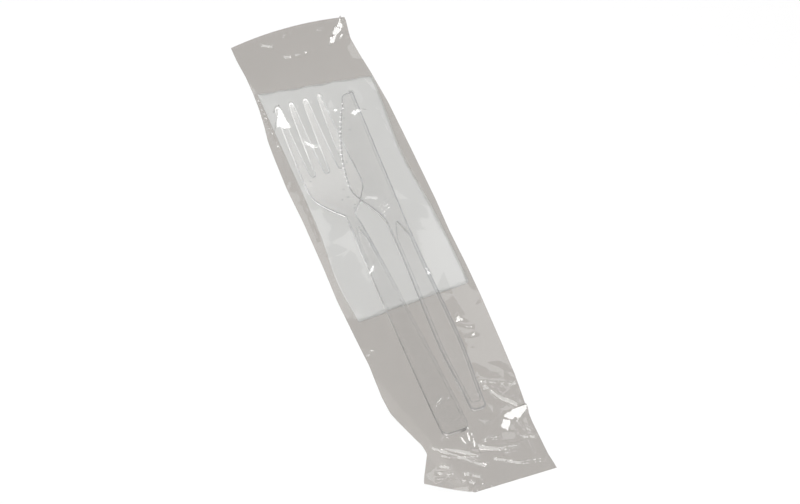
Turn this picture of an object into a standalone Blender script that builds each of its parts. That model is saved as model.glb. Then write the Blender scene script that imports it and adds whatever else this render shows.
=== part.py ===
"""A clear film sachet that holds a plastic fork, a plastic knife and a folded paper napkin.

Metres, +Z up. The pack lies on its back: X runs across it, +Y runs towards the fork's tines, and the
origin is under the middle of the sachet.
"""

import math

import bmesh
import bpy
import numpy as np
from mathutils import Vector
from mathutils.bvhtree import BVHTree

# Pieces that lie on each other keep this gap
CLEARANCE = 0.0003

# Napkin: one sheet folded to and fro into panels, wider at the left than at the right
NAPKIN_WIDTH = 0.0508
NAPKIN_LENGTH = 0.127
NAPKIN_PANELS = 5
NAPKIN_PLY = 0.00024
NAPKIN_PLY_GAP = 0.0001
NAPKIN_STAGGER = 0.0005
NAPKIN_TOP_SKEW = 0.0070
NAPKIN_BOTTOM_SKEW = 0.0040
NAPKIN_SHIFT = 0.0024
NAPKIN_TURN = math.radians(-0.35)
NAPKIN_PAST_TINES = 0.0165

# Fork
FORK_LENGTH = 0.185
FORK_END_WIDTH = 0.0123
FORK_NECK_WIDTH = 0.0048
FORK_HEAD_WIDTH = 0.0244
FORK_HEAD_LENGTH = 0.0625
FORK_SHOULDER = 0.018
FORK_HANDLE_FLARE = 1.6
FORK_HANDLE_THICKNESS = 0.0024
FORK_HEAD_THICKNESS = 0.0013
FORK_END_RADIUS = 0.003
FORK_BOWL_DROP = 0.0038
FORK_BOWL_START = 0.010
FORK_LOWEST_PAST_SHOULDER = 0.005
FORK_BOWL_CUP = 0.0014
FORK_TIP_RISE = 0.0034
FORK_THIN_BEFORE_NECK = 0.010
FORK_THIN_LENGTH = 0.016
TINES = 4
TINE_LENGTH = 0.037
TINE_ROOT_WIDTH = 0.0047
TINE_TIP_WIDTH = 0.0024
TINE_TIP_ROUND = 0.004
TINE_SLOT_START = 0.002
TINE_TIP_SHARE = 0.35
FORK_SHIFT = -0.0062
FORK_TURN = math.radians(1.4)

# Knife
KNIFE_LENGTH = 0.176
KNIFE_BLADE_LENGTH = 0.073
KNIFE_HEEL_LENGTH = 0.026
KNIFE_BLADE_WIDTH = 0.0175
KNIFE_TIP_WIDTH = 0.0048
KNIFE_SPINE_LEAN = 0.0014
KNIFE_END_WIDTH = 0.0070
KNIFE_GRIP_WIDTH = 0.0104
KNIFE_GRIP_AT = 0.036
KNIFE_NECK_WIDTH = 0.0084
KNIFE_HANDLE_THICKNESS = 0.0022
KNIFE_BLADE_THICKNESS = 0.0012
KNIFE_EDGE_THICKNESS = 0.0005
KNIFE_RIB_THICKNESS = 0.0018
KNIFE_RIB_WIDTH = 0.0022
KNIFE_GRIND_WIDTH = 0.0045
KNIFE_END_RADIUS = 0.0022
TOOTH_PITCH = 0.0024
TOOTH_DEPTH = 0.0009
HANDLE_GAP = 0.0018
KNIFE_SETBACK = 0.008
KNIFE_TURN = math.radians(-0.6)
KNIFE_EDGE_CURVE = 1.65

# Raised rims along both handles
RIM_WIDTH = 0.0016
RIM_HEIGHT = 0.0009
RECESS_POINT = 0.009
EDGE_BEVEL = 0.0003

# Film sachet
FILM_WALL = 0.0002
FILM_SLIT = 0.0003
END_SEAL = 0.004
SIDE_ROOM = 0.0042
TOP_ROOM = 0.0465
BOTTOM_ROOM = 0.031
FILM_INSET = 0.0006
FILM_COLUMNS = 25
FILM_ROWS = 66
SKIN_PASSES = 60
TOP_ARCH = 0.0020
TOP_BOW = 0.0016
TOP_PINCH_LENGTH = 0.036
TOP_FLAP_START = 0.002
NAPKIN_TO_FILM = 0.0014
FOLD_TOP_PINCH = 0.0012
FOLD_TOP_PINCH_BEFORE = 0.010
FOLD_TOP_PINCH_LENGTH = 0.020
FOLD_BOTTOM_PINCH = 0.0030
FOLD_BOTTOM_PINCH_FROM = 0.060
FOLD_BOTTOM_PINCH_LENGTH = 0.036
CORNER_PINCH = 0.0076
CORNER_PINCH_AT = 0.0250
CORNER_PINCH_LENGTH = 0.030
CORNER_FOOT = 0.0193
CORNER_CREASE_SIDE = 0.82
CORNER_CREASE_TOP = 0.060
CORNER_RISE = 0.0065
CORNER_CURL = 0.0075
PUCKERS = 5
PUCKER_HEIGHT = 0.0011
PUCKER_LENGTH = 0.020

FILM_WIDTH = NAPKIN_WIDTH + 2 * SIDE_ROOM
FILM_LENGTH = BOTTOM_ROOM + FORK_LENGTH + TOP_ROOM
FILM_TOP = FILM_LENGTH / 2
FILM_BOTTOM = -FILM_LENGTH / 2
BED = FILM_WALL + CLEARANCE
FORK_FOOT = FILM_BOTTOM + BOTTOM_ROOM
KNIFE_FOOT = FORK_FOOT + KNIFE_SETBACK
KNIFE_SHIFT = FORK_SHIFT + FORK_END_WIDTH / 2 + HANDLE_GAP + KNIFE_GRIP_WIDTH / 2
NAPKIN_TOP = FORK_FOOT + FORK_LENGTH + NAPKIN_PAST_TINES


def lerp(a, b, t):
    return a + (b - a) * t


def ease(t):
    """0 to 1 with level ends."""
    t = min(max(t, 0.0), 1.0)
    return t * t * (3 - 2 * t)


def spread(start, end, count):
    return [lerp(start, end, i / (count - 1)) for i in range(count)]


def round_end(y, width, radius):
    """Half width of a strip at y from its end, with rounded corners."""
    lost = radius - math.sqrt(max(radius**2 - (radius - min(y, radius)) ** 2, 0.0))
    return width / 2 - lost


def material(name, color, roughness, alpha=1.0, transmission=0.0):
    m = bpy.data.materials.new(name)
    m.use_nodes = True
    shader = m.node_tree.nodes["Principled BSDF"]
    shader.inputs["Base Color"].default_value = (*color, 1.0)
    shader.inputs["Roughness"].default_value = roughness
    shader.inputs["Metallic"].default_value = 0.0
    shader.inputs["Alpha"].default_value = alpha
    shader.inputs["Transmission Weight"].default_value = transmission
    return m


def new_object(name, bm, collection, finish=None):
    bmesh.ops.recalc_face_normals(bm, faces=bm.faces)
    mesh = bpy.data.meshes.new(name)
    bm.to_mesh(mesh)
    bm.free()
    piece = bpy.data.objects.new(name, mesh)
    collection.objects.link(piece)
    if finish:
        mesh.materials.append(finish)
        mesh.shade_smooth()
        mesh.set_sharp_from_angle(angle=math.radians(35))
    return piece


def hide_cutter(cutter):
    cutter.hide_render = True
    cutter.display_type = "WIRE"


def cut(piece, cutter):
    """Takes the cutter's shape out of the piece, and keeps the cutter with it."""
    hide_cutter(cutter)
    cutter.parent = piece
    boolean = piece.modifiers.new("cut_" + cutter.name, "BOOLEAN")
    boolean.operation = "DIFFERENCE"
    boolean.solver = "EXACT"
    boolean.object = cutter


def plate(name, outline, low, high, collection):
    """A flat outline in X and Y, made solid from low to high."""
    curve = bpy.data.curves.new(name, "CURVE")
    curve.dimensions = "2D"
    curve.fill_mode = "BOTH"
    curve.extrude = (high - low) / 2
    spline = curve.splines.new("POLY")
    spline.points.add(len(outline) - 1)
    for point, (x, y) in zip(spline.points, outline):
        point.co = (x, y, 0.0, 1.0)
    spline.use_cyclic_u = True
    flat = bpy.data.objects.new(name + "_outline", curve)
    collection.objects.link(flat)
    flat.location.z = (low + high) / 2
    bpy.context.view_layer.update()
    depsgraph = bpy.context.evaluated_depsgraph_get()
    mesh = bpy.data.meshes.new_from_object(flat.evaluated_get(depsgraph))
    mesh.transform(flat.matrix_world)
    bpy.data.objects.remove(flat)
    bm = bmesh.new()
    bm.from_mesh(mesh)
    bmesh.ops.remove_doubles(bm, verts=bm.verts, dist=1e-6)
    bpy.data.meshes.remove(mesh)
    return new_object(name, bm, collection)


def loft(name, rings, collection, finish):
    """A closed solid through rings that all have the same number of points."""
    bm = bmesh.new()
    loops = [[bm.verts.new(point) for point in ring] for ring in rings]
    for a, b in zip(loops, loops[1:]):
        for i in range(len(a)):
            j = (i + 1) % len(a)
            bm.faces.new((a[i], a[j], b[j], b[i]))
    bm.faces.new(loops[0])
    bm.faces.new(loops[-1])
    return new_object(name, bm, collection, finish)


def triangle_tree(pieces):
    """A search tree over the finished solids, in world space."""
    bpy.context.view_layer.update()
    depsgraph = bpy.context.evaluated_depsgraph_get()
    points, triangles = [], []
    for piece in pieces:
        mesh = piece.evaluated_get(depsgraph).to_mesh()
        mesh.calc_loop_triangles()
        first = len(points)
        points += [piece.matrix_world @ v.co for v in mesh.vertices]
        triangles += [[first + i for i in t.vertices] for t in mesh.loop_triangles]
    return BVHTree.FromPolygons(points, triangles)


def surface_height(tree, x, y, from_above=True):
    """Height of the first surface met at x, y, or None."""
    side = 1.0 if from_above else -1.0
    hit = tree.ray_cast(Vector((x, y, side)), Vector((0, 0, -side)))[0]
    return None if hit is None else hit.z


def lay_on(piece, foot, turn, width, length, supports):
    """Rests a long piece on its foot and on what is under it, tilted only as far as it has to be."""
    piece.location = foot
    piece.rotation_euler = (0.0, 0.0, turn)
    own, below = triangle_tree([piece]), triangle_tree(supports)
    slope = 0.0
    for along in spread(0.004, length, 140):
        for across in spread(-width, width, 49):
            x = foot[0] + across * math.cos(turn) - along * math.sin(turn)
            y = foot[1] + across * math.sin(turn) + along * math.cos(turn)
            top, bottom = surface_height(below, x, y), surface_height(own, x, y, False)
            if top is not None and bottom is not None:
                slope = max(slope, (top + CLEARANCE - bottom) / along)
    piece.rotation_euler = (math.atan(slope), 0.0, turn)


# Napkin


def napkin_web():
    """The folded sheet's section, as x, z and the panel that each point belongs to."""
    pitch = NAPKIN_PLY + NAPKIN_PLY_GAP
    reach = NAPKIN_WIDTH / 2 - pitch / 2
    web = []
    for panel in range(NAPKIN_PANELS):
        way = 1 if panel % 2 == 0 else -1
        z = NAPKIN_PLY / 2 + panel * pitch
        web += [(way * x, z, panel) for x in spread(-reach, reach, 5)]
        if panel < NAPKIN_PANELS - 1:
            for angle in (-45, 0, 45):
                a = math.radians(angle)
                x = way * (reach + math.cos(a) * pitch / 2)
                web.append((x, z + pitch / 2 + math.sin(a) * pitch / 2, panel + 0.5))
    return web


def make_napkin(collection, finish):
    web = napkin_web()
    rows = 9
    bm = bmesh.new()
    lines = []
    for x, z, panel in web:
        across = x / NAPKIN_WIDTH
        stagger = NAPKIN_STAGGER * math.cos(math.pi * panel)
        top = -NAPKIN_TOP_SKEW * (across + 0.5) + stagger
        bottom = -NAPKIN_LENGTH - NAPKIN_BOTTOM_SKEW * (0.5 - across) - stagger
        lines.append([bm.verts.new((x, y, z)) for y in spread(bottom, top, rows)])
    for a, b in zip(lines, lines[1:]):
        for i in range(rows - 1):
            bm.faces.new((a[i], b[i], b[i + 1], a[i + 1]))
    napkin = new_object("napkin", bm, collection, finish)
    thick = napkin.modifiers.new("ply", "SOLIDIFY")
    thick.thickness = NAPKIN_PLY
    thick.offset = 0.0
    thick.use_even_offset = True
    napkin.location = (NAPKIN_SHIFT, NAPKIN_TOP, BED)
    napkin.rotation_euler.z = NAPKIN_TURN
    return napkin


# Fork


FORK_NECK_Y = FORK_LENGTH - FORK_HEAD_LENGTH
TINE_ROOT_Y = FORK_LENGTH - TINE_LENGTH
TINE_PITCH = (FORK_HEAD_WIDTH - TINE_ROOT_WIDTH) / (TINES - 1)


def tine_width(y):
    """A tine's width at y: an even taper with a rounded tip."""
    even = lerp(TINE_ROOT_WIDTH, TINE_TIP_WIDTH, (y - TINE_ROOT_Y) / TINE_LENGTH)
    inside = 1 - min(FORK_LENGTH - y, TINE_TIP_ROUND) / TINE_TIP_ROUND
    return even * lerp(TINE_TIP_SHARE, 1.0, math.sqrt(max(1 - inside**2, 0.0)))


def fork_half_width(y):
    if y < FORK_NECK_Y:
        flare = 1 - (y / FORK_NECK_Y) ** FORK_HANDLE_FLARE
        width = lerp(FORK_NECK_WIDTH, FORK_END_WIDTH, flare)
        return round_end(y, width, FORK_END_RADIUS)
    if y < TINE_ROOT_Y:
        swell = math.sin(min((y - FORK_NECK_Y) / FORK_SHOULDER, 1.0) * math.pi / 2)
        return lerp(FORK_NECK_WIDTH, FORK_HEAD_WIDTH, swell) / 2
    return ((TINES - 1) * TINE_PITCH + tine_width(y)) / 2


def fork_middle(y):
    """Height of the underside on the fork's middle line: level handle, dipped bowl, raised tips."""
    start = FORK_NECK_Y - FORK_BOWL_START
    lowest = FORK_NECK_Y + FORK_SHOULDER + FORK_LOWEST_PAST_SHOULDER
    dip = -FORK_BOWL_DROP * ease((y - start) / (lowest - start))
    rise = max(y - lowest, 0.0) / (FORK_LENGTH - lowest)
    return dip + (FORK_BOWL_DROP + FORK_TIP_RISE) * rise**1.5


def fork_cup(y):
    """How much higher the head's sides are than its middle."""
    along = min(max((y - FORK_NECK_Y) / FORK_HEAD_LENGTH, 0.0), 1.0)
    return FORK_BOWL_CUP * math.sin(math.pi * along**0.7) ** 2


def fork_thickness(y):
    thin = ease((y - FORK_NECK_Y + FORK_THIN_BEFORE_NECK) / FORK_THIN_LENGTH)
    return lerp(FORK_HANDLE_THICKNESS, FORK_HEAD_THICKNESS, thin)


def fork_ring(y):
    half, cup, base, thick = fork_half_width(y), fork_cup(y), fork_middle(y), fork_thickness(y)
    bevel = min(EDGE_BEVEL, half / 3)
    across = spread(-half + bevel, half - bevel, 9)
    low = [(x, y, base + cup * (x / half) ** 2) for x in across]
    high = [(x, y, z + thick) for x, y, z in reversed(low)]
    edge = base + cup
    right = [(half, y, edge + bevel), (half, y, edge + thick - bevel)]
    left = [(-half, y, edge + thick - bevel), (-half, y, edge + bevel)]
    return low + right + high + left


def tine_slot(middle):
    """Outline of the gap between two tines: a round root and sides that follow the tines."""
    root_y = TINE_ROOT_Y + TINE_SLOT_START
    stations = spread(root_y, FORK_LENGTH - TINE_TIP_ROUND, 4)
    stations += [FORK_LENGTH - TINE_TIP_ROUND * f for f in (0.7, 0.4, 0.2, 0.08, 0.0)]
    sides = [((TINE_PITCH - tine_width(y)) / 2, y) for y in stations]
    sides.append((sides[-1][0], FORK_LENGTH + 0.001))
    radius = sides[0][0]
    root = [
        (radius * math.cos(a), root_y - radius * math.sin(a))
        for a in spread(math.pi, 0.0, 9)[1:-1]
    ]
    left = [(-x, y) for x, y in reversed(sides)]
    return [(middle + x, y) for x, y in left + root + sides]


def handle_recess(half_width, start, end):
    """Outline of the sunk face between a handle's rims: square at the foot, pointed at the neck."""
    rows = spread(start, end, 14)
    corner = 0.4 * (half_width(rows[0]) - RIM_WIDTH)
    right = [(half_width(y) - RIM_WIDTH, y) for y in rows]
    right[0] = (right[0][0] - corner, rows[0])
    right.insert(1, (half_width(start + corner) - RIM_WIDTH, start + corner))
    left = [(-x, y) for x, y in reversed(right)]
    return [*right, (0.0, end + RECESS_POINT), *left]


def make_fork(collection, cutters, finish):
    stations = [FORK_END_RADIUS * f for f in (0.0, 0.1, 0.3, 0.6, 1.0)]
    stations += spread(0.012, FORK_NECK_Y - 0.014, 10) + spread(FORK_NECK_Y - 0.011, FORK_NECK_Y, 6)
    shares = (0.03, 0.08, 0.15, 0.24, 0.34, 0.45, 0.57, 0.7, 0.85, 1.0)
    stations += [FORK_NECK_Y + FORK_SHOULDER * f for f in shares]
    stations += spread(TINE_ROOT_Y - 0.004, FORK_LENGTH - TINE_TIP_ROUND, 14)
    stations += [FORK_LENGTH - TINE_TIP_ROUND * f for f in (0.7, 0.4, 0.2, 0.08, 0.0)]
    fork = loft("fork", [fork_ring(y) for y in stations], collection, finish)
    for gap in range(TINES - 1):
        middle = (gap - (TINES - 2) / 2) * TINE_PITCH
        cut(fork, plate(f"tine_slot_{gap + 1}", tine_slot(middle), -0.01, 0.02, cutters))
    floor = FORK_HANDLE_THICKNESS - RIM_HEIGHT
    outline = handle_recess(fork_half_width, 0.005, FORK_NECK_Y - 0.016)
    cut(fork, plate("fork_recess", outline, floor, floor + 0.004, cutters))
    return fork


# Knife


KNIFE_NECK_Y = KNIFE_LENGTH - KNIFE_BLADE_LENGTH
BLADE_START_Y = KNIFE_NECK_Y + KNIFE_HEEL_LENGTH


def handle_half_width(y):
    if y < KNIFE_GRIP_AT:
        width = lerp(KNIFE_END_WIDTH, KNIFE_GRIP_WIDTH, ease(y / KNIFE_GRIP_AT))
    else:
        narrow = ease((y - KNIFE_GRIP_AT) / (KNIFE_NECK_Y - KNIFE_GRIP_AT) * 1.3)
        width = lerp(KNIFE_GRIP_WIDTH, KNIFE_NECK_WIDTH, narrow)
    return round_end(y, width, KNIFE_END_RADIUS)


def spine_x(y):
    lean = max(y - KNIFE_NECK_Y, 0.0) / KNIFE_BLADE_LENGTH
    tip = round_end(KNIFE_LENGTH - y, 0.0, KNIFE_END_RADIUS * 0.6)
    return handle_half_width(y) + KNIFE_SPINE_LEAN * lean + tip


def edge_x(y):
    """The cutting side: a heel that swells from the neck, then a long curve to the blunt tip."""
    heel = KNIFE_NECK_WIDTH / 2 - KNIFE_BLADE_WIDTH
    tip = KNIFE_NECK_WIDTH / 2 + KNIFE_SPINE_LEAN - KNIFE_TIP_WIDTH
    if y < KNIFE_NECK_Y:
        return -handle_half_width(y)
    if y < BLADE_START_Y:
        return lerp(-handle_half_width(y), heel, ease((y - KNIFE_NECK_Y) / KNIFE_HEEL_LENGTH))
    along = (y - BLADE_START_Y) / (KNIFE_LENGTH - BLADE_START_Y)
    blunt = -round_end(KNIFE_LENGTH - y, 0.0, KNIFE_END_RADIUS * 0.6)
    return lerp(heel, tip, along**KNIFE_EDGE_CURVE) + blunt


def knife_ring(y, notch):
    left, right = edge_x(y) + notch, spine_x(y)
    blade = ease((y - KNIFE_NECK_Y) / KNIFE_HEEL_LENGTH)
    bevel = min(EDGE_BEVEL, (right - left) / 8) * (1 - blade)
    rib = max(right - KNIFE_RIB_WIDTH, lerp(left, right, 0.5))
    grind = min(left + KNIFE_GRIND_WIDTH, lerp(left, rib, 0.8))
    sharp = (KNIFE_BLADE_THICKNESS - KNIFE_EDGE_THICKNESS) / 2

    def low(x):
        return blade * sharp * (1 - min((x - left) / (grind - left), 1.0))

    def high(x):
        flat = KNIFE_BLADE_THICKNESS - low(x)
        on_rib = min(max((x - rib) / (0.3 * (right - rib)), 0.0), 1.0)
        flat = lerp(flat, KNIFE_RIB_THICKNESS, on_rib)
        return lerp(KNIFE_HANDLE_THICKNESS, flat, blade)

    across = [left + bevel, grind, lerp(grind, rib, 0.5), rib, lerp(rib, right, 0.3), right - bevel]
    under = [(x, y, low(x)) for x in across]
    over = [(x, y, high(x)) for x in reversed(across)]
    step = max(bevel, 0.0001)
    right_side = [(right, y, step), (right, y, high(right) - step)]
    left_side = [(left, y, high(left) - step), (left, y, low(left) + step)]
    return under + right_side + over + left_side


def make_knife(collection, cutters, finish):
    stations = [(KNIFE_END_RADIUS * f, 0.0) for f in (0.0, 0.1, 0.3, 0.6, 1.0)]
    stations += [(y, 0.0) for y in spread(0.008, KNIFE_NECK_Y - 0.004, 15)]
    stations += [(y, 0.0) for y in spread(KNIFE_NECK_Y, BLADE_START_Y - 0.004, 9)]
    teeth = int((KNIFE_LENGTH - KNIFE_END_RADIUS * 2 - BLADE_START_Y) / TOOTH_PITCH)
    for tooth in range(teeth):
        start = BLADE_START_Y + tooth * TOOTH_PITCH
        stations += [(start, 0.0), (start + TOOTH_PITCH / 2, TOOTH_DEPTH)]
    stations += [(KNIFE_LENGTH - KNIFE_END_RADIUS * 0.6 * f, 0.0) for f in (1.6, 1.0, 0.5, 0.2, 0.0)]
    rings = [knife_ring(y, notch) for y, notch in stations]
    knife = loft("knife", rings, collection, finish)
    floor = KNIFE_HANDLE_THICKNESS - RIM_HEIGHT
    outline = handle_recess(handle_half_width, 0.004, KNIFE_NECK_Y - 0.008)
    cut(knife, plate("knife_recess", outline, floor, floor + 0.004, cutters))
    return knife


# Film sachet


def left_edge(y):
    """X of the welded side, drawn in beside the napkin's top and at the bottom corner."""
    napkin_side = NAPKIN_SHIFT - NAPKIN_WIDTH / 2 - NAPKIN_TO_FILM
    top_pinch = napkin_side + FILM_WIDTH / 2
    pinch = top_pinch * math.exp(-(((y - NAPKIN_TOP - 0.004) / TOP_PINCH_LENGTH) ** 2))
    bottom = FILM_BOTTOM + CORNER_PINCH_AT
    above = (bottom + CORNER_PINCH_LENGTH - y) / CORNER_PINCH_LENGTH
    below = (y - FILM_BOTTOM - CORNER_RISE) / (CORNER_PINCH_AT - CORNER_RISE)
    return -FILM_WIDTH / 2 + pinch + CORNER_PINCH * max(min(above, below), 0.0)


def right_edge(y):
    """X of the folded side, drawn in a little at both ends."""
    top = FOLD_TOP_PINCH * ease((y - NAPKIN_TOP + FOLD_TOP_PINCH_BEFORE) / FOLD_TOP_PINCH_LENGTH)
    above = FILM_BOTTOM + FOLD_BOTTOM_PINCH_FROM - y
    bottom = FOLD_BOTTOM_PINCH * ease(above / FOLD_BOTTOM_PINCH_LENGTH)
    return FILM_WIDTH / 2 - top - bottom


def flap_share(y):
    """0 up to the napkin's top, 1 at the film's top edge."""
    start = NAPKIN_TOP + TOP_FLAP_START
    return ease((y - start) / (FILM_TOP - start))


def film_plan(rows, columns):
    """Where the film's grid points lie, seen from above."""
    inner = spread(FILM_BOTTOM + END_SEAL, FILM_TOP - END_SEAL, rows - 2)
    plan = np.zeros((rows, columns, 2))
    for i, y in enumerate([FILM_BOTTOM, *inner, FILM_TOP]):
        for j in range(columns):
            x = lerp(left_edge(y), right_edge(y), j / (columns - 1))
            past = max((CORNER_FOOT - FILM_WIDTH / 2 - x) / CORNER_FOOT, 0.0)
            near = ease((FILM_BOTTOM + BOTTOM_ROOM - y) / BOTTOM_ROOM)
            bow = TOP_BOW * flap_share(y) * (2 * x / FILM_WIDTH) ** 2
            plan[i, j] = (x, y + CORNER_RISE * past * near - bow)
    return plan


def film_lift(x, y):
    """How far the whole film stands up from the table: the arched top flap and the curled corner."""
    half = FILM_WIDTH / 2
    arch = TOP_ARCH * (1 - (x / half) ** 2) * flap_share(y)
    foot = Vector((CORNER_FOOT - half, FILM_BOTTOM))
    crease = Vector((-half * CORNER_CREASE_SIDE, FILM_BOTTOM + CORNER_CREASE_TOP)) - foot
    away = (Vector((x, y)) - foot).cross(crease) / crease.length
    curl = CORNER_CURL * (max(-away, 0.0) / CORNER_FOOT) ** 1.3
    return max(arch, 0.0) + curl


def puckers(x, y):
    """Small gathers in the front film above the bottom seal."""
    along = (y - FILM_BOTTOM - END_SEAL) / PUCKER_LENGTH
    if along <= 0 or along >= 1:
        return 0.0
    wave = 0.5 - 0.5 * math.cos(2 * math.pi * PUCKERS * (x / FILM_WIDTH + 0.5))
    return PUCKER_HEIGHT * wave * math.sin(math.pi * along)


def cell_heights(plan, contents):
    """The highest point of the contents under each cell of the film's grid."""
    tree = triangle_tree(contents)
    rows, columns = plan.shape[:2]
    highest = np.zeros((rows - 1, columns - 1))
    steps = spread(0.0, 1.0, 6)
    for i in range(rows - 1):
        for j in range(columns - 1):
            low, high = plan[i, j : j + 2], plan[i + 1, j : j + 2]
            for v in steps:
                left, right = lerp(low[0], high[0], v), lerp(low[1], high[1], v)
                for u in steps:
                    x, y = lerp(left, right, u)
                    found = surface_height(tree, x, y)
                    highest[i, j] = max(highest[i, j], found or 0.0)
    return highest


def front_film(plan, lift, contents):
    """Height of the front film's outer face: a skin drawn over what it covers."""
    rows, columns = plan.shape[:2]
    thickness = np.full((rows, columns), 2 * FILM_WALL + FILM_SLIT)
    thickness[0] = thickness[-1] = 2 * FILM_WALL
    thickness[1] = thickness[-2] = 2 * FILM_WALL
    least = lift + thickness
    cells = np.pad(cell_heights(plan, contents), 1)
    over = np.maximum.reduce([cells[:-1, :-1], cells[:-1, 1:], cells[1:, :-1], cells[1:, 1:]])
    covered = np.where(over > 0, over + CLEARANCE + FILM_WALL, 0.0)
    least = np.maximum(least, covered)
    skin = least.copy()
    for _ in range(SKIN_PASSES):
        mean = (skin[:-2, 1:-1] + skin[2:, 1:-1] + skin[1:-1, :-2] + skin[1:-1, 2:]) / 4
        skin[2:-2, 1:-1] = np.maximum(mean[1:-1], least[2:-2, 1:-1])
    for i in range(2, rows - 2):
        for j in range(1, columns - 1):
            skin[i, j] += puckers(*plan[i, j])
    return skin


def blanket(name, low, high, collection, finish=None):
    """A closed solid between two sheets of grid points, each an array of rows, columns and x, y, z."""
    rows, columns = low.shape[:2]
    bm = bmesh.new()
    bmesh.ops.create_grid(bm, x_segments=columns - 1, y_segments=rows - 1, size=1.0)
    made = bmesh.ops.extrude_face_region(bm, geom=bm.faces[:])
    upper = {v for v in made["geom"] if isinstance(v, bmesh.types.BMVert)}
    for v in bm.verts:
        i = round((v.co.y + 1) / 2 * (rows - 1))
        j = round((v.co.x + 1) / 2 * (columns - 1))
        v.co = (high if v in upper else low)[i, j]
    bmesh.ops.triangulate(bm, faces=bm.faces, quad_method="FIXED")
    return new_object(name, bm, collection, finish)


def hollow_columns(plan, low, high):
    """The hollow's grid: the film's own columns, drawn in at the fold and led out at the weld."""
    lower, upper = [], []
    for i in range(1, len(plan) - 1):
        ends = []
        for column, beside in ((0, 1), (-1, -2)):
            run = abs(plan[i, beside, 0] - plan[i, column, 0])
            t = FILM_INSET / run
            point = [lerp(sheet[i, column], sheet[i, beside], t) for sheet in (low, high)]
            ends.append(point)
        lip = low[i, 0] + Vector((0, 0, FILM_WALL))
        rim = [lip + np.array((-0.001, 0, 0)), lip + np.array((FILM_INSET / 2, 0, 0))]
        slit = np.array((0, 0, FILM_SLIT))
        bed, roof = np.array((0, 0, FILM_WALL)), np.array((0, 0, -FILM_WALL))
        inner_low = [ends[0][0] + bed, *(low[i, 1:-1] + bed), ends[1][0] + bed]
        inner_high = [ends[0][1] + roof, *(high[i, 1:-1] + roof), ends[1][1] + roof]
        lower.append([*rim, *inner_low])
        upper.append([*(p + slit for p in rim), *inner_high])
    return np.array(lower), np.array(upper)


def make_film(contents, collection, cutters, finish):
    plan = film_plan(FILM_ROWS, FILM_COLUMNS)
    lift = np.array([[film_lift(x, y) for x, y in row] for row in plan])
    skin = front_film(plan, lift, contents)
    low = np.dstack([plan, lift])
    high = np.dstack([plan, skin])
    film = blanket("film_sleeve", low, high, collection, finish)
    inner_low, inner_high = hollow_columns(plan, low, high)
    cut(film, blanket("film_hollow", inner_low, inner_high, cutters))
    return film


def main():
    for piece in list(bpy.data.objects):
        bpy.data.objects.remove(piece)
    parts = bpy.data.collections.new("cutlery_pack")
    cutters = bpy.data.collections.new("cutters")
    for collection in (parts, cutters):
        bpy.context.scene.collection.children.link(collection)
    paper = material("napkin_paper", (0.86, 0.86, 0.85), 0.9)
    clear_plastic = material("clear_plastic", (0.86, 0.87, 0.87), 0.12, transmission=0.9)
    clear_film = material("clear_film", (0.70, 0.69, 0.67), 0.1, alpha=0.35)
    napkin = make_napkin(parts, paper)
    fork = make_fork(parts, cutters, clear_plastic)
    foot = (FORK_SHIFT, FORK_FOOT, BED)
    lay_on(fork, foot, FORK_TURN, FORK_HEAD_WIDTH / 2, FORK_LENGTH, [napkin])
    knife = make_knife(parts, cutters, clear_plastic)
    foot = (KNIFE_SHIFT, KNIFE_FOOT, BED)
    lay_on(knife, foot, KNIFE_TURN, KNIFE_BLADE_WIDTH, KNIFE_LENGTH, [napkin, fork])
    make_film([napkin, fork, knife], parts, cutters, clear_film)


main()
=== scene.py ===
"""Looks of a cutlery pack: clear crinkled film round a moulded fork, a knife and a paper napkin.

Metres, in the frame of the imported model: X across the pack, +Y towards the fork's tines, +Z up.
"""

import math

import bmesh
import bpy
import numpy as np
from mathutils import Matrix, Vector
from mathutils.bvhtree import BVHTree
from mathutils.geometry import delaunay_2d_cdt


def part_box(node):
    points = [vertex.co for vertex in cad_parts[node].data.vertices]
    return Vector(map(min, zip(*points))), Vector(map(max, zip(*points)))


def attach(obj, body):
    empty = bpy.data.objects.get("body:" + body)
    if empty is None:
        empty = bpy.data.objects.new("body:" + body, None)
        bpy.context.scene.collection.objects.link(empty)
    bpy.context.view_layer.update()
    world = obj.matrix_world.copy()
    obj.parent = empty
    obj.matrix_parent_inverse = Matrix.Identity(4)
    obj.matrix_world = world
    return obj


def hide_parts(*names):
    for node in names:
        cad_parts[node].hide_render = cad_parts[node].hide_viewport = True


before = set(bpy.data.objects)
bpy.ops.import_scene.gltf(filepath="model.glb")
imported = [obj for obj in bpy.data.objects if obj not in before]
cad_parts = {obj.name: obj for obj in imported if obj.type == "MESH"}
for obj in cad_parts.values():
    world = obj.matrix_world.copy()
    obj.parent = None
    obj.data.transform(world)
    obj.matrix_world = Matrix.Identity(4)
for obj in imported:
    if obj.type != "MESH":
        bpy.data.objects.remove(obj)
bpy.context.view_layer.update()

# The photograph's view
PICTURE_WIDTH, PICTURE_HEIGHT = 800, 504
SENSOR_WIDTH = 36.0
VIEW_TURN = math.radians(20.4)
VIEW_ELEVATION = math.radians(52.0)
VIEW_DISTANCE = 3.0
METRES_PER_PIXEL = 0.00043
ORIGIN_PIXEL = (388.1, 254.8)

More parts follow.
